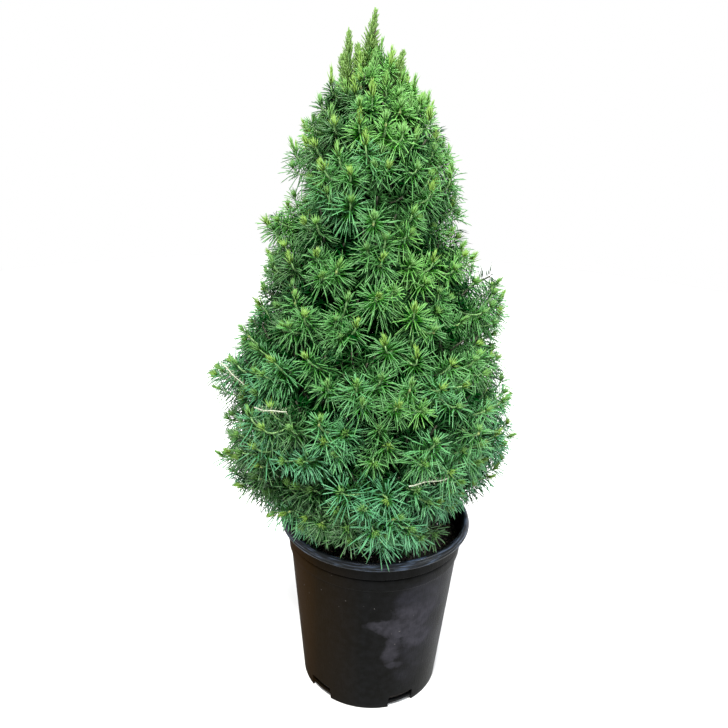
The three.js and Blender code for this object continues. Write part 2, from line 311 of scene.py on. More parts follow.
def group(name, wants, gives):
    """An empty shader node group, with the nodes of its inputs (None is a vector) and its outputs."""
    tree = bpy.data.node_groups.new(name, "ShaderNodeTree")
    for label, value in wants.items():
        kind = "NodeSocketVector" if value is None else "NodeSocketFloat"
        socket = tree.interface.new_socket(label, in_out="INPUT", socket_type=kind)
        if value is not None:
            socket.default_value = value
    for label in gives:
        tree.interface.new_socket(label, in_out="OUTPUT", socket_type="NodeSocketFloat")
    return tree, tree.nodes.new("NodeGroupInput"), tree.nodes.new("NodeGroupOutput")


# Patches where something has dried on: ragged islands of a large, distorted noise, soft at their
# edges. The pot's haze, the mix's dry crumbs and the bark's grey bloom all use it.
patches, given, told = group(
    "dried patches", {"Place": None, "Scale": 20.0, "Share": 0.5, "Softness": 0.05}, ["Mask"]
)
links = [("Vector", given.outputs["Place"]), ("Scale", given.outputs["Scale"])]
ragged = node(patches, "TexNoise", links, Detail=6.0, Roughness=0.62, Distortion=0.9).outputs["Fac"]
above = work("SUBTRACT", ragged, given.outputs["Share"])
join(work("DIVIDE", above, given.outputs["Softness"], clamp=True), told.inputs["Mask"])


def use_group(which, place, **values):
    """Places a node group in a material over a place, sets its inputs and gives its outputs."""
    placed = place.id_data.nodes.new("ShaderNodeGroup")
    placed.node_tree = which
    join(place, placed.inputs["Place"])
    for key, value in values.items():
        placed.inputs[key].default_value = value
    return placed.outputs


def ramp(source, stops):
    """A colour ramp over a value, from a list of (place, colour)."""
    made = node(source.id_data, "ValToRGB", [("Fac", source)])
    while len(made.color_ramp.elements) < len(stops):
        made.color_ramp.elements.new(0.5)
    for element, (place, colour) in zip(made.color_ramp.elements, stops):
        element.position = place
        element.color = (*colour, 1)
    return made.outputs[0]


def blend(share, first, second):
    """Mixes two colours by a value, each a plain colour or another node's output."""
    made = node(share.id_data, "Mix", [(0, share)])
    made.data_type = "RGBA"
    for socket, value in ((6, first), (7, second)):
        join(value if isinstance(value, bpy.types.NodeSocket) else (*value, 1), made.inputs[socket])
    return made.outputs[2]


def surface(name, colour, roughness, **plain):
    """A new material, its shader, and the place of a point of the piece."""
    material = new_material(name, colour, roughness, **plain)
    place = node(material.node_tree, "TexCoord").outputs["Object"]
    return material, material.node_tree.nodes["Principled BSDF"], place


def raise_by(relief, shader, strength, height):
    """Raises a surface by a relief, as a bump of a strength and a height in metres."""
    bump = node(relief.id_data, "Bump", [("Height", relief)], Strength=strength, Distance=height)
    join(bump.outputs[0], shader.inputs["Normal"])


plastic, shader, place = surface(
    "black nursery plastic", (0.03, 0.03, 0.03), 0.4, Specular_IOR_Level=0.028, Coat_Roughness=0.22
)
x, y, z = node(place.id_data, "SeparateXYZ", [(0, place)]).outputs

# The dried film: each blot is an ellipse on the wall, from the side across and up, whose edge is
# pushed about by a noise. Across and up are in millimetres, sizes are half-widths.
ragged = noise(place, Scale=38.0, Detail=5.0, Roughness=0.62)
jagged = noise(place, Scale=160.0, Detail=4.0)
push = work("SUBTRACT", work("ADD", times(ragged, 3.4), jagged), 2.2)


def blot(across, up, half_across, half_up, edge):
    """One blot's mask: one within the pushed ellipse, falling to nought over the edge's share of it."""
    aside = work("DIVIDE", work("SUBTRACT", x, across / 1000), half_across / 1000)
    above = work("DIVIDE", work("SUBTRACT", z, up / 1000), half_up / 1000)
    away = work("ADD", times(aside, aside), times(above, above))
    return work("DIVIDE", work("SUBTRACT", 1.0, work("ADD", away, push)), edge, clamp=True)


blots = [(34, 106, 24, 12), (17, 68, 10, 18), (38, 76, 14, 14), (20, 51, 10, 6), (2, 97, 12, 6)]
film = blot(22, 94, 26, 13, 0.4)
for sizes in blots:
    film = work("MAXIMUM", film, blot(*sizes, 0.7))
bloom = work("MAXIMUM", blot(46, 116, 30, 28, 2.2), blot(42, 66, 30, 44, 3.0))
on_front = rise(y, 0.0, -60.0)
film = times(film, on_front)
bloom = times(bloom, on_front)

# Over the plastic lie a haze, a mottling, a painted warm reflection in brown at the left side, the
# bloom and the film, combed by the mould; the rim is painted with a bluish reflection and pale
# highlight streaks all round, and specks of dust stick everywhere.
haze = use_group(patches, place, Scale=9.0, Share=0.42, Softness=0.3)["Mask"]
speck = rise(noise(place, Scale=330.0, Detail=1.0), 0.79, 30.0)
towards_front = rise(y, 0.012, -25.0)
# Painted reflection: warm brown towards the left front of the pot, deeper at its left edge.
painted_warm_reflection = times(rise(x, -0.008, -22.0), towards_front)
painted_warm_reflection_edge = times(rise(x, -0.046, -45.0), towards_front)
on_rim = rise(z, 0.1592, 1400.0)
streaks = noise(stretch(place, 900, 900, 40), Scale=1.0, Detail=3.0)
mottle = rise(jagged, 0.38, 4.0)
dusty = work("ADD", 0.55, times(mottle, 0.45))
combed_film = work("ADD", 0.7, times(streaks, 0.25))
# Painted highlight and reflection: the rim is slate blue with pale blue streaks drawn out round it.
rim_highlight_streaks = rise(noise(stretch(place, 60, 60, 1100), Scale=1.0, Detail=3.0), 0.5, 6.0)
coats = [
    (times(mottle, 0.4), (0.0066, 0.007, 0.0078)),
    (times(painted_warm_reflection, 0.9), (0.0078, 0.004, 0.0002)),
    (times(painted_warm_reflection_edge, 0.9), (0.018, 0.0075, 0.0002)),
    (times(bloom, dusty), (0.0275, 0.0275, 0.038)),
    (times(times(film, dusty), combed_film), (0.03, 0.029, 0.036)),
    (on_rim, blend(rim_highlight_streaks, (0.0055, 0.0072, 0.009), (0.05, 0.07, 0.108))),
    (times(speck, 0.6), (0.12, 0.115, 0.11)),
]
colour = blend(haze, (0.002, 0.0021, 0.0018), (0.0044, 0.0046, 0.005))
for share, coat in coats:
    colour = blend(share, colour, coat)
rough = 0.42
for coat, rougher in ((haze, 0.12), (film, 0.2), (painted_warm_reflection, 0.4)):
    rough = work("ADD", rough, times(coat, rougher))
join(colour, shader.inputs["Base Color"])
join(rough, shader.inputs["Roughness"])
join(times(on_rim, 0.3), shader.inputs["Coat Weight"])
grain = noise(place, Scale=1400.0, Detail=2.0)
raise_by(work("ADD", times(grain, 0.4), times(streaks, 0.8)), shader, 0.4, 0.0006)

pot = build("nursery_pot", pot_points, [wall_faces, base_faces, *base_caps], plastic)
crease = pot.modifiers.new("crisp edges", "EDGE_SPLIT")
crease.split_angle = radians(38)
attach(pot, "root")
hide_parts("pot")

# ---- The potting mix ----
# Dark, damp bark and peat fill the pot to a little under the rim. Bark chips, a few straws and grains
# of white perlite lie on top, tipped in and settled by watering.

random = np.random.default_rng(20)
mix_foot = 0.0065
mix_top = 0.1485
mix_edge = 0.0733
mix_sides = 132
strewn_to = 0.0695


def ripple(x, y, seed, scale, octaves=4):
    """Smooth unevenness at points x, y: a sum of crossed sine waves in random directions, each octave
    twice as fine and half as high."""
    waves = np.random.default_rng(seed)
    total = 0
    for octave in range(octaves):
        for _ in range(5):
            turn, shift = waves.uniform(0, 2 * pi, 2)
            pitch = 2**octave * waves.uniform(0.7, 1.3) * 2 * pi / scale
            total = total + np.sin((x * cos(turn) + y * sin(turn)) * pitch + shift) / 2**octave
    return total / 5


def mix_surface(x, y):
    """The height of the mix: level near the trunk, rippled further out, and sunk a little at the pot."""
    out = np.hypot(x, y)
    uneven = 0.0011 * ripple(x, y, 3, 0.03) + 0.0006 * ripple(x, y, 4, 0.007, 3)
    sunk = 0.0022 * np.clip((out - 0.058) / 0.014, 0, 1) ** 2
    return mix_top + np.clip(out / 0.02, 0, 1) * uneven - sunk


side_radii = np.r_[0.0582, np.linspace(0.0585, 0.0713, 20), 0.0729, 0.0732, mix_edge, mix_edge]
side_heights = np.r_[mix_foot, np.linspace(0.007, 0.134, 20), 0.1375, 0.14, 0.1435, 0.146]
top_radii = np.linspace(mix_edge - 0.001, 0.001, 62)
rings = len(side_radii) + len(top_radii)
mix_points = disc(np.r_[side_radii, top_radii], np.r_[side_heights, 0 * top_radii], mix_sides)
top_part = np.arange(len(side_radii) * mix_sides, len(mix_points))
mix_points[top_part, 2] = mix_surface(mix_points[top_part, 0], mix_points[top_part, 1])
side_part = np.arange(mix_sides, (len(side_radii) - 1) * mix_sides)
round_side = np.arctan2(*mix_points[side_part, :2].T) * 0.06
swell = 1 + 0.006 * ripple(round_side, mix_points[side_part, 2], 5, 0.008)
mix_points[side_part, :2] *= np.minimum(swell, 1.0)[:, None]
mix_points = np.vstack([mix_points, [[0, 0, mix_foot]], [[0, 0, mix_top]]])
edge = np.arange(mix_sides)
under = rings * mix_sides
mix_caps = [fan(edge, under, down=True), fan((rings - 1) * mix_sides + edge, under + 1)]

peat, shader, place = surface("damp potting mix", (0.02, 0.013, 0.009), 0.95)
crumbs = node(place.id_data, "TexVoronoi", [("Vector", place)], Scale=520.0).outputs["Distance"]
fibre = noise(place, Scale=260.0, Detail=5.0)
dry = use_group(patches, place, Scale=60.0, Share=0.52, Softness=0.12)["Mask"]
wet, damp, drier = (0.004, 0.003, 0.0025), (0.011, 0.008, 0.006), (0.03, 0.02, 0.014)
shade = ramp(fibre, [(0.3, wet), (0.55, damp), (0.75, drier)])
join(blend(times(dry, 0.4), shade, (0.035, 0.028, 0.021)), shader.inputs["Base Color"])
raise_by(work("SUBTRACT", fibre, times(crumbs, 0.9)), shader, 0.9, 0.0012)

mix_body = build("potting_mix_body", mix_points, [ring_index(rings, mix_sides), *mix_caps], peat)
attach(mix_body, "root")
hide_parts("potting_mix")


def matrices(*entries):
    """Three-by-three matrices from arrays of their nine entries, row by row."""
    return np.stack(entries, -1).reshape(-1, 3, 3)


def turned(count):
    """Random turns, as matrices: the quaternion formula on random fours."""
    q = random.normal(size=(count, 4))
    w, i, j, k = (q / np.linalg.norm(q, axis=1, keepdims=True)).T
    first = 1 - 2 * (j * j + k * k), 2 * (i * j - k * w), 2 * (i * k + j * w)
    second = 2 * (i * j + k * w), 1 - 2 * (i * i + k * k), 2 * (j * k - i * w)
    return matrices(*first, *second, 2 * (i * k - j * w), 2 * (j * k + i * w), 1 - 2 * (i * i + j * j))


# A lump is a cube's eight corners, a point over the middle of each face, and four triangles to each.
cube_corners = np.array([[x, y, z] for x in (-1, 1) for y in (-1, 1) for z in (-1, 1)], float)
cube_middles = np.array([[-1, 0, 0], [1, 0, 0], [0, -1, 0], [0, 1, 0], [0, 0, -1], [0, 0, 1]], float)
cube_sides = [0, 1, 3, 2], [4, 6, 7, 5], [0, 4, 5, 1], [2, 3, 7, 6], [0, 2, 6, 4], [1, 5, 7, 3]
lump_faces = np.concatenate([fan(np.array(side), 8 + i) for i, side in enumerate(cube_sides)])


def scatter(count, sizes, roundness, lie):
    """Lumps on the mix: a cube's corners and face middles, pulled towards a ball by the roundness,
    jittered, scaled by the sizes, turned, and flattened on the surface by the lie."""
    shape = np.vstack([cube_corners * (1 - roundness * 0.42), cube_middles])
    lumps = shape[None] * (1 + random.uniform(-0.28, 0.28, (count, 14, 3)))
    lumps = lumps * random.uniform(*sizes, (count, 1, 3))
    spin = random.uniform(0, 2 * pi, count)
    none = 0 * spin
    first, second = (np.cos(spin), -np.sin(spin), none), (np.sin(spin), np.cos(spin), none)
    flat = matrices(*first, *second, none, none, none + 1)
    turn = np.where(random.random((count, 1, 1)) < lie, flat, turned(count))
    lumps = np.einsum("nij,nkj->nki", turn, lumps)
    out = np.sqrt(random.uniform(0.09, 1, count)) * strewn_to
    towards = random.uniform(0, 2 * pi, count)
    x, y = out * np.cos(towards), out * np.sin(towards)
    lumps += np.stack([x, y, mix_surface(x, y) + 0.0004], -1)[:, None]
    faces = lump_faces[None] + 14 * np.arange(count)[:, None, None]
    return lumps.reshape(-1, 3), faces.reshape(-1, 3)


def lay(name, material, count, sizes, roundness, lie):
    """Scatters one kind of bit over the mix as one piece; sizes are from and to, in millimetres."""
    points, faces = scatter(count, np.array(sizes) / 1000, roundness, lie)
    piece = build(name, points, [faces], material, smooth=False)
    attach(piece, "root")
    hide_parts("potting_mix")


chip, shader, place = surface("composted bark chips", (0.05, 0.028, 0.016), 0.8)
streak = noise(stretch(place, 500, 160, 500), Scale=1.0, Detail=4.0)
dark, brown, worn = (0.008, 0.006, 0.004), (0.024, 0.016, 0.011), (0.07, 0.048, 0.031)
shade = ramp(streak, [(0.3, dark), (0.55, brown), (0.8, worn)])
join(shade, shader.inputs["Base Color"])
raise_by(streak, shader, 0.6, 0.0005)
perlite = new_material("perlite", (0.62, 0.6, 0.54), 0.9)
straw = new_material("dry straw", (0.24, 0.18, 0.1), 0.75)
lay("mix_bark_chips", chip, 620, ([0.7, 0.5, 0.3], [2.6, 1.7, 0.9]), 0.35, 0.5)
lay("mix_crumbs", peat, 900, ([0.4, 0.4, 0.4], [1.2, 1.2, 1.1]), 0.8, 0.2)
lay("mix_perlite", perlite, 46, ([0.5, 0.5, 0.5], [1.1, 1.1, 1.0]), 0.9, 0.0)
lay("mix_straws", straw, 44, ([2.8, 0.2, 0.2], [6.2, 0.4, 0.3]), 0.3, 0.8)

# ---- The trunk ----
# One slim, nearly straight leader stem of grey-brown wood, flared at the roots and under thin bark
# that lifts in small scales. It runs inside the crown up to the top bud.

soil_level = 0.149
trunk_foot = soil_level - 0.0015
trunk_tip = 0.5585
trunk_sides = 56


def smooth_step(t):
    """Three times the square less twice the cube, between nought and one."""
    t = np.clip(t, 0, 1)
    return t * t * (3 - 2 * t)


def trunk_at(height):
    """The trunk's middle at heights: it leans 14 mm to one side low down and wavers 3 mm above."""
    height = np.asarray(height, float)
    risen = np.clip((height - 0.26) / 0.299, 0, 1)
    x = -0.014 * smooth_step((height - soil_level) / 0.111) - 0.001 * risen
    return np.stack([x, 0.003 * np.sin(3 * risen), height], -1)


# Scaly bark: a fine noise drawn out along the limb, less the cells of its scales.
bark_noise, given, told = group("scaly bark", {"Place": None, "Scale": 1.0}, ["Height", "Tone"])
drawn_out = stretch(given.outputs["Place"], 260, 260, 90)
links = [("Vector", drawn_out), ("Scale", given.outputs["Scale"])]
flakes = node(bark_noise, "TexVoronoi", links).outputs["Distance"]
fine = noise(drawn_out, Scale=3.0, Detail=4.0)
join(work("SUBTRACT", times(fine, 0.5), times(flakes, 0.8)), told.inputs["Height"])
join(fine, told.inputs["Tone"])


def bark_material(name, dark, middle, pale, strength):
    """Scaly bark between three tones, with the patches showing as a grey bloom."""
    material, shader, place = surface(name, middle, 0.85)
    scales = use_group(bark_noise, place, Scale=1.0)
    bloom = use_group(patches, place, Scale=70.0, Share=0.55, Softness=0.1)["Mask"]
    shade = ramp(scales["Tone"], [(0.3, dark), (0.5, middle), (0.72, pale)])
    join(blend(times(bloom, 0.4), shade, pale), shader.inputs["Base Color"])
    raise_by(scales["Height"], shader, strength, 0.0008)
    return material


def length(vectors):
    """The lengths of vectors."""
    return np.linalg.norm(vectors, axis=-1)


def unit(vectors):
    """Vectors brought to a length of one."""
    return vectors / np.maximum(length(vectors), 1e-12)[..., None]


def frames(going, steady):
    """Two directions square to each going direction, the first one steadied by another vector."""
    first = unit(steady - (steady * going).sum(-1, keepdims=True) * going)
    return first, np.cross(going, first)


def steady_for(going):
    """A vector well away from a curve's mean direction: level and square to it."""
    level = np.cross(going.mean(1), [0, 0, 1.0])
    level[length(level) < 0.2] = [1.0, 0, 0]
    return unit(level)[:, None]


def tubes(middles, going, radii, sides, relief=0.0):
    """Round limbs through rings of middles, closed by a point at each end. The relief is added to the
    radius and has one value for each ring and side."""
    count, rings = radii.shape
    first, second = frames(going, steady_for(going))
    turn = np.linspace(0, 2 * pi, sides, endpoint=False)
    spoke = first[:, :, None] * np.cos(turn)[:, None] + second[:, :, None] * np.sin(turn)[:, None]
    points = middles[:, :, None] + spoke * (radii[..., None] + relief)[..., None]
    foot = middles[:, :1] - going[:, :1] * radii[:, :1, None] * 0.6
    tip = middles[:, -1:] + going[:, -1:] * radii[:, -1:, None] * 0.8
    points = np.concatenate([points.reshape(count, -1, 3), foot, tip], 1)
    start = (rings * sides + 2) * np.arange(count)[:, None, None]
    edge = np.arange(sides)
    caps = [fan(edge, rings * sides, down=True), fan((rings - 1) * sides + edge, rings * sides + 1)]
    walls = (ring_index(rings, sides) + start).reshape(-1, 4)
    return points.reshape(-1, 3), [walls, (np.concatenate(caps) + start).reshape(-1, 3)]


def scaly(along, around, seed):
    """Bark relief between nought and one: cells of a crossed sine field, sharpened to lifted scales."""
    field = ripple(along * 0.55, around, seed, 0.009, 3)
    field = field + 0.6 * ripple(along, around * 1.7, seed + 1, 0.0035, 2)
    return 1 - np.abs(np.tanh(field * 1.6))


# The stem is 7.5 mm in radius at the foot and 1.1 mm at the tip; five lobes of root flare its foot.
trunk_heights = np.linspace(trunk_foot, trunk_tip, 240)
turn = np.linspace(0, 2 * pi, trunk_sides, endpoint=False)
middles = trunk_at(trunk_heights)[None]
above_soil = (trunk_heights - soil_level)[:, None]
body = 0.0075 - 0.0064 * np.clip(above_soil / 0.41, 0, 1) ** 0.85
flare = 0.0045 * (1 - smooth_step(above_soil / 0.016))
relief = scaly(trunk_heights[:, None] + 0 * turn, turn * body, 31) * 0.09 * body
relief = relief + flare * (0.55 + 0.45 * np.sin(5 * turn + 0.6))
going = unit(np.gradient(middles, axis=1))
points, faces = tubes(middles, going, body.T * 0.95, trunk_sides, relief)
trunk_tones = (0.012, 0.009, 0.006), (0.032, 0.025, 0.017), (0.075, 0.063, 0.046)
trunk_bark = bark_material("trunk bark", *trunk_tones, 0.8)
trunk = build("trunk_with_bark", points, faces, trunk_bark)
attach(trunk, "root")
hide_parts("trunk")

# ---- The boughs ----
# Whorls of thin boughs leave the trunk at a shallow upward slope, in six tiers, and curve up towards
# their ends. Their bark is that of the trunk, finer.

# Each tier: its lowest level, the next tier's, the number of boughs, the first one's turn in degrees,
# the clear core at the trunk and the boughs' radius at their foot.
tiers = [
    (0.1535, 0.198, 5, 18, 0.026, 0.0034),
    (0.198, 0.252, 5, 54, 0.028, 0.0036),
    (0.252, 0.309, 5, 20, 0.027, 0.0034),
    (0.309, 0.369, 4, 48, 0.023, 0.0030),
    (0.369, 0.427, 4, 2, 0.018, 0.0025),
    (0.427, 0.483, 3, 30, 0.013, 0.0020),
]
# The crown's outline, as height and radius in mm.
crown_outline = [[152, 60], [168, 80], [190, 103], [212, 115], [262, 120], [300, 116], [340, 103]]
crown_outline += [[380, 87], [430, 68], [470, 60], [490, 51], [505, 42], [518, 33], [530, 21], [541, 8]]
crown_outline = np.array(crown_outline) / 1000
# Where the crown stands proud or falls short: direction in degrees, height, how far, how widely (mm).
swellings = [
    (178, 414, 12, 20), (182, 290, 15, 17), (182, 332, -7, 18), (184, 218, 16, 24), (2, 357, 19, 23),
    (0, 305, 7, 26), (-8, 225, -8, 30), (-88, 310, 6, 30), (70, 240, 5, 35), (128, 345, 7, 28),
    (-24, 186, -24, 32), (-48, 192, -22, 30), (-62, 396, -9, 16), (-45, 300, -6, 18), (6, 508, 8, 18),
    (180, 203, 14, 14), (180, 172, -9, 10), (182, 256, 9, 14), (180, 345, -8, 20), (180, 321, -5, 10),
    (180, 400, -6, 10), (181, 421, 10, 9), (180, 505, -5, 10), (0, 199, -13, 13), (0, 379, 14, 11),
    (0, 320, 5, 14), (0, 411, -6, 8), (0, 421, 7, 8), (0, 461, 5, 8), (182, 465, 3, 10),
    (0, 262, -4, 9), (-84, 174, -15, 22), (-110, 170, -8, 18),
]


def crown_radius(towards, height):
    """The crown's radius in a direction at a height: the outline's, times one plus two slow waves
    round the trunk, plus a small ripple of tufts, plus a round hill for every swelling."""
    base = np.interp(height, *crown_outline.T)
    mm = height * 1000
    broad = 0.035 * np.sin(3 * towards + mm / 31) + 0.03 * np.sin(5 * towards - mm / 23)
    tufts = 0.0022 * np.sin(mm / 4.6 + 2 * towards) * np.sin(towards * base * 1000 / 9)
    radius = base * (1 + broad) + tufts * np.clip(base / 0.06, 0, 1)
    for direction, level, out, wide in swellings:
        aside = 2 * np.sin((towards - radians(direction)) / 2) * base * 1000
        radius = radius + out / 1000 * np.exp(-(aside**2 + (mm - level) ** 2) / wide**2)
    return radius


def outward(towards, slope=0.0):
    """Unit vectors in directions round the trunk, at a slope upwards."""
    level, rising = np.cos(slope), np.sin(slope)
    return np.stack([np.cos(towards) * level, np.sin(towards) * level, rising + 0 * towards], -1)


def crown_lift(radius, towards):
    """How far the boughs have risen at a radius: 42 mm at 125 mm, by the square of the radius, times
    one plus a slow wave round the trunk."""
    return 0.042 * (radius / 0.125) ** 2 * (1 + 0.12 * np.sin(3 * towards + 0.8))


def in_crown(towards, height, depth):
    """Points at a depth under the crown's surface, where the crown has a direction and a height."""
    radius = crown_radius(towards, height)
    level = np.maximum(height - crown_lift(radius, towards), trunk_foot)
    radius = np.maximum(radius - depth, 0.0)
    middle = trunk_at(level)
    middle[..., 2] = height
    return middle + outward(towards) * radius[..., None]


bough_stops_short = 0.038
bough_ends, bough_radius, bough_level = [], [], []
for low, high, masses, first_turn, core, thick in tiers:
    level = low + 0.45 * (high - low)
    for j in range(masses):
        towards = radians(first_turn) + j * 2 * pi / masses + 0.09 * sin(level * 1000 / 21 + 1)
        risen = crown_lift(np.interp(level + 0.01, *crown_outline.T), towards)
        reach = crown_radius(towards, level + risen) - bough_stops_short
        foot = trunk_at(level - 0.55 * core + 0.0045 * ((2 * j) % masses - (masses - 1) / 2))
        tip = trunk_at(level) + outward(towards) * reach
        tip[2] = level + crown_lift(reach, towards)
        middle = (foot + tip) / 2 - [0, 0, 0.002]
        bough_ends.append([foot, foot / 3 + middle * 2 / 3, tip / 3 + middle * 2 / 3, tip])
        bough_radius.append(thick)
        bough_level.append(level)
bough_ends = np.array(bough_ends)
bough_radius, bough_level = np.array([bough_radius, bough_level])[..., None]


def bezier(ends, t):
    """Points and directions at shares t along cubic curves given by four control points each, in
    ends of shape (curves, 4, 3): the usual Bernstein sums of the control points and of their steps."""
    t = np.asarray(t)[..., None]
    a, b, c, d = (ends[:, i, None] if t.ndim == 3 else ends[:, i] for i in range(4))
    at = a * (1 - t) ** 3 + 3 * b * t * (1 - t) ** 2 + 3 * c * t * t * (1 - t) + d * t**3
    return at, unit((b - a) * (1 - t) ** 2 + 2 * (c - b) * t * (1 - t) + (d - c) * t * t)


bough_sides = 20
share = np.linspace(0, 1, 64)
middles, going = bezier(bough_ends, share[None])
middles = middles + 0.0009 * np.sin(share * 23)[:, None] * np.cross(going, [0, 0, 1.0])
radii = bough_radius * (0.92 - 0.5 * share) * (1 + 0.05 * np.sin(share * 61 + bough_level * 900))
turn = np.linspace(0, 2 * pi, bough_sides, endpoint=False)
along = share[:, None] * length(bough_ends[:, 3] - bough_ends[:, 0])[:, None, None]
along = along + np.arange(len(radii))[:, None, None]
relief = 0.12 * radii[..., None] * scaly(along, turn * radii[..., None], 37)
points, faces = tubes(middles, going, radii, bough_sides, relief)
boughs = build("boughs_with_bark", points, faces, trunk_bark)
bough_nodes = [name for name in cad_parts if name.startswith("bough_")]
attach(boughs, "root")
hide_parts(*bough_nodes)

# ---- The branches ----
# Every bough forks into branches, one for each spray of shoots; above the last tier they leave the
# trunk itself. They end some 30 mm under the crown's surface.

random = np.random.default_rng(7)
surface_heights = np.linspace(0.166, 0.545, 400)
surface_radii = np.interp(surface_heights, *crown_outline.T)
strips = surface_radii * np.hypot(1, np.gradient(surface_radii, surface_heights))
strips = np.cumsum(strips) / strips.sum()


def spaced(gap, tries, clear=None, clear_by=0.0, most=10**6, named=np.empty((0, 3))):
    """Places spread over the crown by area, none nearer another than the gap, nor nearer one of the
    clear points than clear_by: directions, heights and points. The named places (degrees and mm)
    come first and all stay; each further try is kept if there's room."""
    towards = np.r_[np.radians(named[:, 0]), random.uniform(-pi, pi, tries)]
    heights = np.r_[named[:, 1] / 1000, np.interp(random.random(tries), strips, surface_heights)]
    points = in_crown(towards, heights, 0.0)
    closer = 0.22 * smooth_step((heights - 0.4) / 0.08) + 0.2 * smooth_step((heights - 0.48) / 0.04)
    room = gap * (1 - closer)
    kept = list(range(len(named)))
    for i in range(len(named), len(towards)):
        if len(kept) >= most:
            break
        if kept and length(points[kept] - points[i]).min() < room[i]:
            continue
        if clear is None or length(clear - points[i]).min() >= clear_by:
            kept.append(i)
    return towards[kept], heights[kept], points[kept]


def slope_at(height):
    """How steeply shoots point up at a height, in radians: from level at the skirt to upright at the
    top."""
    levels, degrees = [0.155, 0.2, 0.26, 0.33, 0.43, 0.49, 0.54], [2, 18, 38, 50, 64, 78, 84]
    return np.radians(np.interp(height, levels, degrees))


spray_towards, spray_heights, spray_surface = spaced(gap=0.031, tries=6000)
sprays = len(spray_towards)
spray_depth = np.minimum(0.032, 0.5 * crown_radius(spray_towards, spray_heights))
spray_end = in_crown(spray_towards, spray_heights - 0.008, spray_depth)
spray_proud = random.normal(0, 0.0048, sprays)
spray_tilt = random.normal(0, 0.16, (sprays, 3))

# A branch leaves the nearest stop along a bough, rather one below its end, or else the trunk.
stops, stop_going = bezier(bough_ends, np.linspace(0.3, 0.96, 12)[None])
stops, stop_going = stops.reshape(-1, 3), stop_going.reshape(-1, 3)
gap_to = length((spray_end[:, None] - stops) * [1, 1, 0.8])
gap_to = gap_to + 0.03 * (stops[None, :, 2] > spray_end[:, None, 2] - 0.004)
nearest = gap_to.argmin(1)
branch_foot = stops[nearest]
branch_going = stop_going[nearest]
from_trunk = (gap_to.min(1) > 0.055) | (spray_heights > 0.495)
trunk_level = np.maximum(spray_end[:, 2] - 0.6 * spray_depth - 0.006, 0.155)
branch_foot[from_trunk] = trunk_at(trunk_level[from_trunk])
branch_going[from_trunk] = unit(outward(spray_towards[from_trunk]) + [0, 0, 0.5])
reach = length(spray_end - branch_foot)[:, None] * 0.35
aim = unit(outward(spray_towards, slope_at(spray_heights) * 0.7) + spray_tilt)
branch_ends = [branch_foot, branch_foot + branch_going * reach, spray_end - aim * reach, spray_end]
branch_ends = np.stack(branch_ends, 1)
share = np.linspace(0, 1, 18)
middles, going = bezier(branch_ends, share[None])
radii = np.tile(0.0016 - 0.0007 * share, (sprays, 1)) * random.uniform(0.85, 1.15, (sprays, 1))
points, faces = tubes(middles, going, radii, 8)
twig_tones = (0.01, 0.012, 0.006), (0.022, 0.024, 0.012), (0.055, 0.052, 0.03)
twig_bark = bark_material("twig bark", *twig_tones, 0.5)
branches = build("branches", points, faces, twig_bark)
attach(branches, "root")
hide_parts(*bough_nodes)

# ---- The shoots ----
# Slender green young shoots over older brown ones. They leave a branch near its end and turn up
# towards the light, in four layers; those of the outer layer end in new growth.

# Gaps between the sprays, where one sees into the crown: direction in degrees and height in mm.
hollows = [(-72, 443), (-109, 424), (-84, 365), (-70, 354), (-116, 308), (-59, 285), (30, 300)]
hollows += [(165, 380), (130, 230), (-78, 437), (-90, 371), (-121, 314), (-54, 291), (-86, 160)]
hollows += [(-106, 158), (-66, 161)]
hollow_turns, hollow_levels = np.array(hollows).T
hollow_places = in_crown(np.radians(hollow_turns), hollow_levels / 1000, 0.008)

# Where the shoots keep further in, or come further out: direction in degrees, height, how far in and
# how widely, in mm.
dents = [(-162, 180, 16, 17), (184, 302, -5, 8), (184, 268, -4, 9), (186, 232, -4, 8), (-4, 213, -3, 8)]
dents += [(181, 442, -6, 9), (7, 381, 10, 8), (-29, 222, 9, 9), (171, 426, 7, 9), (174, 360, 9, 9)]
dents += [(164, 351, 6, 8), (-144, 214, 5, 9), (181, 520, 16, 12), (2, 516, 9, 9), (180, 480, 10, 10)]


def hills(points, places):
    """What the hills of a list give at points of the surface: each one's own height times e to the
    power of minus the squared distance over its squared width, added up."""
    total = np.zeros(len(points))
    for turn, level, tall, wide in places:
        middle = in_crown(np.array(radians(turn)), level / 1000, 0.0)
        total += tall * np.exp(-np.sum(((points - middle) * 1000 / wide) ** 2, axis=1))
    return total


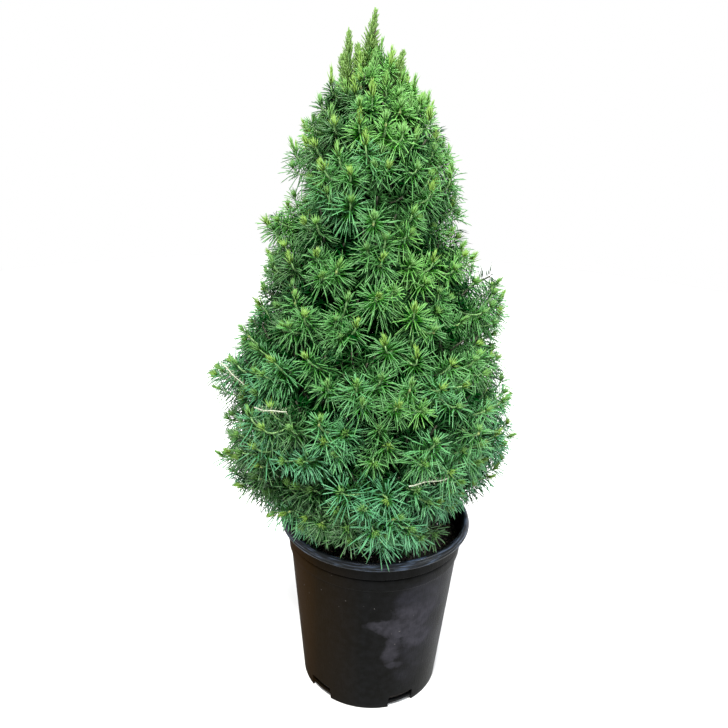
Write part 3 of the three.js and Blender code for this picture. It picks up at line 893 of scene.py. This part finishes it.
def grow(towards, heights, depth, pull, wander, fixed=0):
    """Control points of shoots that end under given places of the surface, and the spray each is on.
    A shoot leaves the branch of its nearest spray. Its end is pulled a share of the way towards the
    spray's, unless it is one of the first, fixed ones, and points up by the slope, with a wander."""
    surface = in_crown(towards, heights, 0.0)
    mine = length(surface[:, None] - spray_surface).argmin(1)
    low = np.clip((0.2 - heights) / 0.03, 0, 1)
    high = smooth_step((heights - 0.42) / 0.09)
    front = np.clip(-np.sin(towards), 0, 1)
    free = np.arange(len(towards)) >= fixed
    depth = depth - spray_proud[mine] * free + (0.013 + 0.008 * front) * low - 0.003 * high
    depth = np.minimum(depth + hills(surface, dents) / 1000, 0.72 * crown_radius(towards, heights))
    wander = wander * (1 - 0.45 * high)
    tip = in_crown(towards, heights, depth)
    tip = tip + pull * free[:, None] * (in_crown(spray_towards[mine], spray_heights[mine], depth) - tip)
    upright = random.random(len(tip)) < np.interp(heights, [0.2, 0.3, 0.4], [0.08, 0.3, 0.45])
    slope = slope_at(heights)
    slope = slope + random.normal(0, 1, len(tip)) * wander + 0.55 * upright * np.cos(slope)
    aim = outward(towards + random.normal(0, 1, len(tip)) * wander, slope)
    aim = unit(aim + spray_tilt[mine] * (0.8 - 0.5 * high)[:, None])
    foot, foot_going = bezier(branch_ends[mine], random.uniform(0.55, 0.99, len(tip)))
    reach = length(tip - foot)[:, None]
    foot_going = unit(foot_going + unit(tip - foot))
    return np.stack([foot, foot + foot_going * reach * 0.3, tip - aim * reach * 0.42, tip], 1), mine


def near_sides(towards):
    """Nought over the front and back of the crown, rising to one at its left and right sides."""
    return smooth_step((np.abs(np.cos(towards)) - 0.6) / 0.3)


# Shoots that mark the crown's outline, each with three beside it: direction in degrees, height and
# depth under the surface in mm.
sprigs = [
    (0, 519, 8), (2, 508, 11), (3, 478, 6), (-3, 459, 7), (1, 437, 6), (0, 401, 10), (2, 372, 9),
    (-1, 362, 7), (-2, 350, 6), (-3, 322, 10), (-5, 287, 9), (-8, 250, 9), (-7, 217, 8), (-12, 198, 22),
    (183, 494, 14), (178, 513, 17), (180, 470, 8), (181, 412, 12), (179, 390, 11), (182, 345, 12),
    (184, 318, 14), (186, 294, 8), (184, 254, 8), (187, 222, 5), (188, 238, 7), (202, 192, 11),
    (-136, 182, 10), (-148, 176, 16), (-158, 174, 24), (-167, 178, 20),
]
beside = [(5, 8, 0), (-6, -3, 0), (3, -10, 0)]
sprigs = np.vstack([sprigs, *[np.add(sprig, beside) for sprig in sprigs]])
marked = len(sprigs)
outer_places = spaced(gap=0.0182, tries=20000, clear=hollow_places, clear_by=0.015, named=sprigs)
outer_towards, outer_heights, outer_surface = outer_places
at_side = np.abs(np.cos(outer_towards)) > 0.9
at_skirt = np.clip((0.2 - outer_heights) / 0.03, 0, 1)
outer_depth = random.uniform(0.005, 0.012, len(outer_towards)) + 0.002 * at_side
outer_depth[:marked] = sprigs[:, 2] / 1000 - 0.013 * at_skirt[:marked]
outer, outer_spray = grow(outer_towards, outer_heights, outer_depth, pull=0.2, wander=0.17, fixed=marked)
filled = np.concatenate([outer_surface, hollow_places])
towards, heights, _ = spaced(gap=0.0165, tries=9000, clear=filled, clear_by=0.0105, most=430)
depth = random.uniform(0.017, 0.026, len(towards)) - 0.007 * near_sides(towards)
second, second_spray = grow(towards, heights, depth, pull=0.1, wander=0.28)
towards, heights, _ = spaced(gap=0.0175, tries=8000, most=470)
depth = random.uniform(0.031, 0.042, len(towards)) - 0.008 * near_sides(towards)
inner, _ = grow(towards, heights, depth, pull=0.0, wander=0.35)
towards, heights, _ = spaced(gap=0.0185, tries=7000, most=390)
depth = random.uniform(0.046, 0.07, len(towards))
core, _ = grow(towards, heights, depth, pull=0.0, wander=0.4)

# Four shoots stand clear of the crown's left side, as four control points each, in mm.
proud = [
    [[-38, 2, 462], [-47, 1, 468], [-55, 0, 474], [-60, 0, 483]],
    [[-64, 2, 396], [-75, 1, 401], [-87, 0, 407], [-93, 0, 418]],
    [[-106, -8, 286], [-117, -7, 288], [-125, -6, 292], [-132, -5, 298]],
    [[-34, 2, 428], [-43, 1, 434], [-52, 0, 440], [-59, 0, 449]],
]
proud = np.array(proud) / 1000.0
nearest_spray = length(proud[:, 3, None] - spray_surface).argmin(1)
outer, outer_spray = np.concatenate([outer, proud]), np.r_[outer_spray, nearest_spray]

# The leader stands at the top, with a shorter one at each side and four lesser shoots close to it.
leader = [
    [[-21, 0, 518], [-20, 0, 536], [-17, 0, 550], [-15, 0, 566]],
    [[-29, 1, 503], [-32, 1, 522], [-33.5, 2, 538], [-33, 2, 552]],
    [[-5, -1, 500], [-1, -2, 516], [2, -3, 526], [5, -3, 540]],
    [[-19, 0, 516], [-22, -1, 526], [-25, -1, 533], [-26, -1, 543]],
    [[-24, 1, 508], [-30, 1, 516], [-35, 0, 524], [-37, 0, 536]],
    [[-19, 2, 512], [-18, 2, 522], [-16, 2, 533], [-15, 2, 546]],
    [[-12, 0, 508], [-10, -1, 516], [-7, -1, 524], [-6, -1, 530]],
]
leader = np.array(leader) / 1000.0
shoots = np.concatenate([outer, leader, second, inner, core])
share = np.linspace(0, 1, 9)
middles, going = bezier(shoots, share[None])
radii = np.tile(0.0009 - 0.0003 * share, (len(shoots), 1))
foliage_nodes = [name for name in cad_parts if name.startswith(("foliage_", "leader"))]
green_tones = (0.07, 0.16, 0.045), (0.12, 0.25, 0.075), (0.24, 0.39, 0.17)
green_bark = bark_material("green shoot bark", *green_tones, 0.3)
young = np.arange(len(shoots)) < len(outer) + len(leader)
kinds = (("young_shoots", young, green_bark, 1), ("old_shoots", ~young, twig_bark, 2))
for name, chosen, material, step in kinds:
    rows = (part[chosen, ::step] for part in (middles, going, radii))
    points, faces = tubes(*rows, 6 - step)
    twigs = build(name, points, faces, material)
    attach(twigs, "root")
    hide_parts(*foliage_nodes)

# A few dead twigs have lost their needles and bleached: direction in degrees, height and depth in mm
# at one end, then at the other.
dead = [[-164, 313, -3, -150, 304, 12], [-132, 301, 0, -118, 306, 2], [-75, 256, 4, -60, 259, 0]]
start, stop = np.split(np.array(dead, float).T[..., None], 2)
turn, level, under = start + (stop - start) * share
twig_ends = in_crown(np.radians(turn), level / 1000, under / 1000)
twig_ends[..., 2] += 0.0006 * np.sin(share * 9 + [[0], [2], [4]])
going = unit(np.gradient(twig_ends, axis=1))
points, faces = tubes(twig_ends, going, np.tile(0.00055 - 0.0002 * share, (3, 1)), 6)
bleached_tones = (0.14, 0.16, 0.11), (0.27, 0.29, 0.22), (0.42, 0.43, 0.35)
twigs = build("bare_twigs", points, faces, bark_material("bleached twig bark", *bleached_tones, 0.4))
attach(twigs, "root")
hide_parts(*foliage_nodes)

# ---- The needles ----
# Stiff needles, 13 to 17 mm long, stand out all round every shoot like a bottle brush, closer to it
# near the tip. Old sprays are dark, some bluish and some olive, their darkness partly painted shade;
# a spray keeps about one tone.

golden = pi * (3 - 5**0.5)
random = np.random.default_rng(11)


def dress(ends, count, clad, angles, lengths, lift=0.0, bare=0.0, number=0, bend=-0.15, slim=1.0):
    """Needles round shoots: roots, directions, lengths, curls and the shoot each is on, from a first
    number. They step round the shoot by the golden angle over the clad length, from the bare tip back;
    angles and lengths run from the tip's to the last one's. The lift tips them up and the bend curls
    them along the shoot. If slim, those near the top are closer and shorter, and shoots differ."""
    shoot = np.repeat(np.arange(len(ends)), count)
    order = np.tile(np.arange(count), len(ends))
    back = (order + random.random(len(order))) / count
    reach = (length(ends[:, 3] - ends[:, 0]) * 1.04)[shoot]
    share = 1 - np.clip((bare + back * np.minimum(clad, reach * 0.92)) / reach, 0, 0.97)
    root, going = bezier(ends[shoot], share)
    first, second = frames(going, unit(np.cross(ends[shoot, 3] - ends[shoot, 0], [0.3, 0.2, 1.0])))
    turn = order * golden + random.normal(0, 0.25, len(order)) + shoot * 1.7
    spoke = first * np.cos(turn)[:, None] + second * np.sin(turn)[:, None]
    lean = np.interp(back, np.linspace(0, 1, len(angles)), angles) + random.normal(0, 6, len(order))
    high = slim * smooth_step((root[:, 2] - 0.455) / 0.085)
    lean = np.radians(lean * (1 - 0.4 * high))[:, None]
    aim = unit(going * np.cos(lean) + spoke * np.sin(lean) + np.array([0, 0, lift]))
    long = np.interp(back, np.linspace(0, 1, len(lengths)), lengths) * random.normal(1, 0.09, len(order))
    low = slim * smooth_step((0.32 - root[:, 2]) / 0.1)
    front = np.clip(-ends[:, 3, 1] / 0.08, 0, 1)
    varied = random.uniform(-0.18, 0.04, len(ends)) + front * random.uniform(0, 0.34, len(ends))
    long = long * (1 - 0.36 * high + 0.05 * low) * (1 + slim * varied)[shoot]
    curl = going * bend + np.array([0, 0, -0.14 * slim]) + random.normal(0, 0.05, (len(order), 3))
    return root, aim, long, curl, shoot + number


def needle_mesh(root, aim, long, curl, thick, fine):
    """Points and faces of closed needles. A fine one has a root point, two rings of three and a tip
    point; a plain one has only one ring. The axis bends along the curl by the square of the share."""
    first, second = frames(aim, unit(np.cross(aim, random.normal(size=aim.shape))))
    at, size = ([0.0, 0.4, 0.88, 1.0], [0.88, 1.0]) if fine else ([0.0, 0.45, 1.0], [1.0])
    axis = [(root + (aim * t + curl * t * t) * long[:, None])[:, None] for t in at]
    turn = np.array([[0], [2 * pi / 3], [4 * pi / 3]])
    spoke = first[:, None] * np.cos(turn) + second[:, None] * np.sin(turn)
    rings = [centre + spoke * thick * s for centre, s in zip(axis[1:-1], size)]
    points = np.concatenate([axis[0], *rings, axis[-1]], 1)
    start = points.shape[1] * np.arange(len(root))[:, None, None]
    root_end, tip_end = [[0, 2, 1], [0, 3, 2], [0, 1, 3]], np.array([[1, 2, 4], [2, 3, 4], [3, 1, 4]])
    faces = [(np.vstack([root_end, tip_end + 3 * fine]) + start).reshape(-1, 3)]
    if fine:
        faces.append((np.array([[1, 2, 5, 4], [2, 3, 6, 5], [3, 1, 4, 6]]) + start).reshape(-1, 4))
    return points, faces


def put_needles(name, needles, chosen, thick, material, tip=None):
    """Makes one piece of the chosen needles. With a tip material they are fine, their outer part has
    it, and low down they are fewer and stouter."""
    low = smooth_step((0.32 - needles[0][:, 2]) / 0.1) * (tip is not None)
    chosen = chosen & (random.random(len(low)) > 0.22 * low)
    thick = (thick * (1 + 0.2 * low[chosen]))[:, None, None]
    points, faces = needle_mesh(*(part[chosen] for part in needles[:4]), thick, tip is not None)
    piece = build(name, points, faces, material)
    if tip:
        piece.data.materials.append(tip)
        count = len(points)
        outer_part = np.r_[np.tile([0, 0, 0, 1, 1, 1], count), np.ones(3 * count, int)]
        piece.data.polygons.foreach_set("material_index", outer_part.astype(np.int32))
    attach(piece, "root")
    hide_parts(*foliage_nodes)


def needle_green(name, colour, roughness=0.45, wax=0.38):
    """Plain opaque green of one tone, with a waxy sheen."""
    return new_material(name, colour, roughness, Specular_IOR_Level=wax)


tones = {
    # The darkest tone stands for painted shade.
    "painted_shade": (0.027, 0.092, 0.016),
    "blue": (0.03, 0.136, 0.037),
    "deep": (0.035, 0.144, 0.034),
    "leaf": (0.042, 0.165, 0.035),
    "olive": (0.046, 0.17, 0.029),
    "grass": (0.047, 0.174, 0.027),
    "spring": (0.073, 0.236, 0.03),
    "leader": (0.082, 0.178, 0.024),
}
youngest = 6

# Sprays are sorted by height with some scatter, so that the youngest tones gather at the top. Some
# places are painted lighter or darker than their height says, as painted light and painted shade:
# direction in degrees, height, how many tones, how widely (mm). Half the sprays of the shaded side
# take the darkest tone, as painted shade.
spray_age = np.argsort(np.argsort(spray_heights + random.normal(0, 0.03, sprays))) / sprays * youngest
painted_light_and_shade = [(-104, 380, 2.0, 45), (-107, 338, 1.8, 26), (-78, 300, 2.4, 28), (-62, 268, 2.0, 26)]
painted_light_and_shade += [(-25, 390, 1.5, 35), (-122, 292, -2.6, 30), (-104, 238, -2.4, 34), (-128, 250, -1.5, 40)]
painted_light_and_shade += [(-138, 432, -1.5, 42), (-85, 447, -1.4, 36), (-150, 240, -2, 36), (-52, 350, -0.8, 24)]
spray_age = spray_age + hills(spray_surface, painted_light_and_shade)
spray_tone = np.clip(1 + spray_age, 0, youngest).astype(int)
shaded = (np.cos(spray_towards - radians(190)) > 0.6) & (random.random(sprays) < 0.55)
spray_tone[shaded & (np.abs(spray_heights - 0.31) > 0.03)] = 0
outer_angles = [40, 60, 74, 80, 80, 78]
outer_lengths = [0.0125, 0.0152, 0.0168, 0.017, 0.016, 0.0145]
main_angles = [12, 20, 23, 27, 42, 45, 35, 38, 50, 60, 70]
side_angles = [12, 19, 21, 22, 24, 28, 36, 46, 56, 64, 70]
leader_lengths = [0.005, 0.0062, 0.007, 0.0078, 0.0088, 0.009, 0.0088, 0.009, 0.01, 0.011, 0.012]
count = len(outer)
parts = [
    dress(outer, 78, 0.031, outer_angles, outer_lengths, lift=0.1, bare=0.001),
    dress(leader[:1], 300, 0.05, main_angles, leader_lengths, number=count, bend=0.0, slim=0.0),
    dress(leader[1:], 230, 0.05, side_angles, leader_lengths, number=count + 1, bend=0.0, slim=0.0),
]
needles = [np.concatenate(part) for part in zip(*parts)]
own = spray_tone[outer_spray]
mixed = np.clip(own + random.choice([-1, 0, 0, 0, 1], count), 1, youngest) * (own > 0)
tone_of_shoot = np.concatenate([mixed, np.full(len(leader), youngest + 1)])
# Painted shade and highlight: each needle's inner part is darkened, and its outer part is made paler and
# bluer as a painted highlight over the real waxy sheen; the four darkest tones get a stronger painted
# highlight.
painted_highlight_gain = {"blue": 1.34, "deep": 1.34, "painted_shade": 1.2, "leaf": 1.2}
for i, (tone, colour) in enumerate(tones.items()):
    pale = painted_highlight_gain.get(tone, 1.0)
    base = needle_green(f"{tone} needles", np.multiply(colour, (0.42, 0.82, 0.24)))
    painted_highlight_colour = np.multiply(colour, (1.28 * pale, 1.11 * pale, 1.75 * pale))
    waxy = needle_green(f"{tone} needle ends", painted_highlight_colour, 0.4, 0.44)
    chosen = tone_of_shoot[needles[4]] == i
    put_needles(f"needles_{tone}", needles, chosen, thick=0.00038, material=base, tip=waxy)

# The second layer's needles are older and darker; their very dark greens are partly painted shade in the
# gaps between the sprays.
older = dress(second, 58, 0.026, [50, 66, 76, 78], [0.013, 0.0155, 0.0158, 0.0145], lift=0.04)
old_shaded_tones = {
    "old": (0.006, 0.046, 0.008),
    "dusky": (0.009, 0.048, 0.007),
    "bluish_old": (0.006, 0.045, 0.01),
}
kind = spray_tone[second_spray][older[4]] % 3
for i, (tone, colour) in enumerate(old_shaded_tones.items()):
    old_shaded_green = needle_green(f"{tone} needles", colour, 0.6, 0.15)
    put_needles(f"needles_{tone}", older, kind == i, thick=0.0005, material=old_shaded_green)

# Deep inside, plain dark needles close the crown up to its narrow top.
fill_top = 0.506
shaded_green = needle_green("shaded needles", (0.001, 0.027, 0.003), 0.9, 0.0)
layers = (("inner", inner, 34, 0.0013), ("core", core, 30, 0.0019), ("heart", branch_ends, 26, 0.0019))
for layer, ends, count, thick in layers:
    hidden = dress(ends, count, 0.034, [40, 62, 76], [0.015, 0.017, 0.016], lift=0.05)
    put_needles(f"needles_{layer}", hidden, hidden[0][:, 2] < fill_top, thick, shaded_green)

# The bare twigs keep a few bleached stubs.
stubs = dress(twig_ends[:, [0, 3, 5, 8]], 26, 0.026, [60, 75], [0.0034, 0.0042], bend=0.0, slim=0.0)
bleached_stub = needle_green("bleached needles", (0.2, 0.23, 0.14))
put_needles("needle_stubs", stubs, stubs[4] >= 0, thick=0.0003, material=bleached_stub)

# ---- The new growth ----
# At the tip of every outer shoot stands this spring's growth: a soft, closed brush of short
# yellow-green needles. About one in eight still comes out of a papery bud scale.

random = np.random.default_rng(5)
tips = outer[:, 3]
going = unit(tips - outer[:, 2])
big = random.random(len(outer)) < 0.5
brush_long = (np.where(big, 0.0052, 0.0015) + random.uniform(0, 0.004, len(outer)) * big)[:, None]
brush_long += 0.004 * smooth_step((tips[:, 2:] - 0.42) / 0.09)
start = tips - going * 0.003
grown = np.stack([start + going * brush_long * share for share in (0, 0.33, 0.67, 1)], 1)
brush_lengths = [0.0056, 0.0072, 0.0084, 0.0094]
brush = dress(grown, 26, 0.02, [5, 11, 17, 27], brush_lengths, bend=0.0, slim=0.0)
growth_tone = random.integers(0, 3, len(outer))
growth_tones = {
    "lime": (0.072, 0.182, 0.026),
    "yellow": (0.1, 0.2, 0.024),
    "pale": (0.066, 0.172, 0.032),
}
for i, (tone, colour) in enumerate(growth_tones.items()):
    soft_green = needle_green(f"{tone} new growth", colour, 0.5)
    chosen = growth_tone[brush[4]] == i
    put_needles(f"new_growth_{tone}", brush, chosen, thick=0.00046, material=soft_green)

scaled = random.random(len(outer)) < 0.12
start, going = start[scaled, None], going[scaled, None]
middles = start + going * (0.0026 * np.linspace(0, 1, 4)[:, None] - 0.0012)
radii = np.tile([0.0006, 0.0009, 0.0008, 0.0005], (len(start), 1))
points, faces = tubes(middles, np.repeat(going, 4, 1), radii, 6)
papery_tones = (0.12, 0.2, 0.05), (0.2, 0.27, 0.08), (0.3, 0.34, 0.14)
scales = build("bud_scales", points, faces, bark_material("papery bud scales", *papery_tones, 0.3))
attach(scales, "root")
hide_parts(*foliage_nodes)
